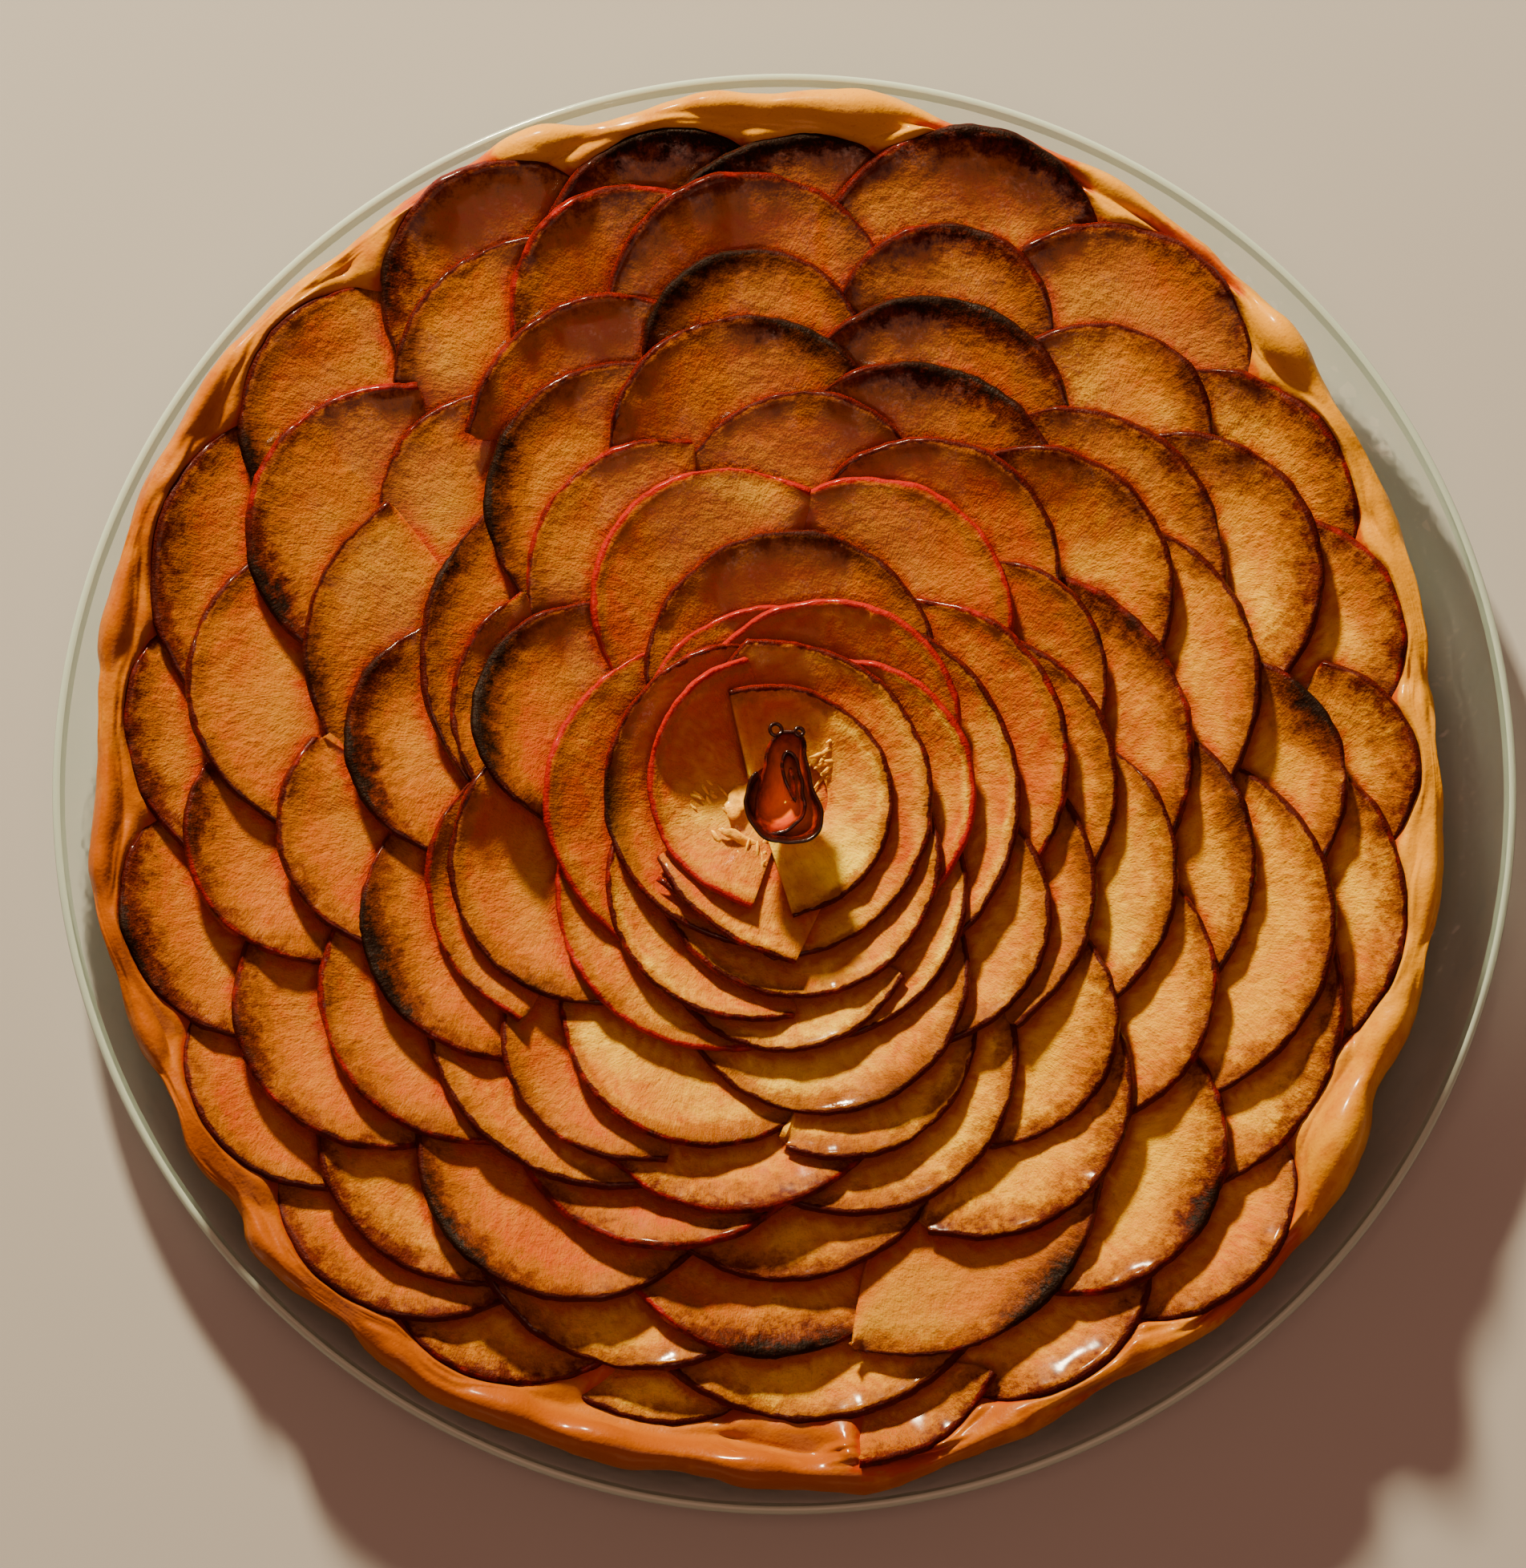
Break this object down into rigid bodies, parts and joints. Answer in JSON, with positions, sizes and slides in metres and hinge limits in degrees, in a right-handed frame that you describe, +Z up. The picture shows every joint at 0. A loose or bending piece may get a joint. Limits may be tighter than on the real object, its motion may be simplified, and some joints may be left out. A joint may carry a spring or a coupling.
{
  "type": "apple frangipane tart",
  "caption": "Round baked tart with thin overlapping apple slices laid like a rose, in its shallow clear glass dish, with a curl of dried peel in the middle.",
  "frame": {"origin": "centre of the dish's flat underside, on the surface it stands on", "axes": "+Z up; +Y away from the viewer, towards the far side of the tart; +X to the right"},
  "size_m": [0.3, 0.3, 0.0332],
  "materials": {
    "clear_glass": "clear pressed glass, slightly green",
    "baked_crust": "golden baked pastry, faint sheen",
    "baked_apple": "baked apple flesh under a thin glaze",
    "dried_peel": "dark red translucent peel"
  },
  "bodies": {
    "root": {"glass_dish": "clear_glass", "pastry_crust": "baked_crust", "peel_curl": "dried_peel", "slice_fifth_01": "baked_apple", "slice_fifth_02_and_fifth_05": "baked_apple", "slice_fifth_03_and_fifth_08": "baked_apple", "slice_fifth_04_and_fifth_13": "baked_apple", "slice_fifth_06_and_fifth_14": "baked_apple", "slice_fifth_07_and_fifth_09": "baked_apple", "slice_fifth_10": "baked_apple", "slice_fifth_11_and_fifth_12": "baked_apple", "slice_fourth_01": "baked_apple", "slice_fourth_02_and_fourth_03": "baked_apple", "slice_fourth_04": "baked_apple", "slice_fourth_05_and_fourth_06": "baked_apple", "slice_fourth_07": "baked_apple", "slice_fourth_08_and_fourth_09": "baked_apple", "slice_fourth_10_and_fourth_11": "baked_apple", "slice_heart_01": "baked_apple", "slice_heart_02_and_heart_03": "baked_apple", "slice_heart_04_and_heart_09": "baked_apple", "slice_heart_05_and_heart_06": "baked_apple", "slice_heart_07_and_heart_08": "baked_apple", "slice_heart_10_and_heart_13": "baked_apple", "slice_heart_11_and_heart_12": "baked_apple", "slice_outer_01_and_outer_22": "baked_apple", "slice_outer_02_and_outer_03": "baked_apple", "slice_outer_04_and_outer_05": "baked_apple", "slice_outer_06_and_outer_07": "baked_apple", "slice_outer_08_and_outer_09": "baked_apple", "slice_outer_10_and_outer_11": "baked_apple", "slice_outer_12_and_outer_13": "baked_apple", "slice_outer_14": "baked_apple", "slice_outer_15_and_outer_16": "baked_apple", "slice_outer_17_and_outer_21": "baked_apple", "slice_outer_18_and_outer_19": "baked_apple", "slice_outer_20": "baked_apple", "slice_second_01_and_second_02": "baked_apple", "slice_second_03": "baked_apple", "slice_second_04": "baked_apple", "slice_second_05_and_second_14": "baked_apple", "slice_second_06_and_second_11": "baked_apple", "slice_second_07_and_second_08": "baked_apple", "slice_second_09_and_second_10": "baked_apple", "slice_second_12_and_second_15": "baked_apple", "slice_second_13": "baked_apple", "slice_second_16": "baked_apple", "slice_second_17_and_second_18": "baked_apple", "slice_sixth_01_and_sixth_03": "baked_apple", "slice_sixth_02_and_sixth_07": "baked_apple", "slice_sixth_04": "baked_apple", "slice_sixth_05_and_sixth_06": "baked_apple", "slice_third_01_and_third_07": "baked_apple", "slice_third_02_and_third_03": "baked_apple", "slice_third_04_and_third_06": "baked_apple", "slice_third_05_and_third_15": "baked_apple", "slice_third_08_and_third_16": "baked_apple", "slice_third_09_and_third_12": "baked_apple", "slice_third_10_and_third_11": "baked_apple", "slice_third_13_and_third_14": "baked_apple"}
  },
  "joints": []
}
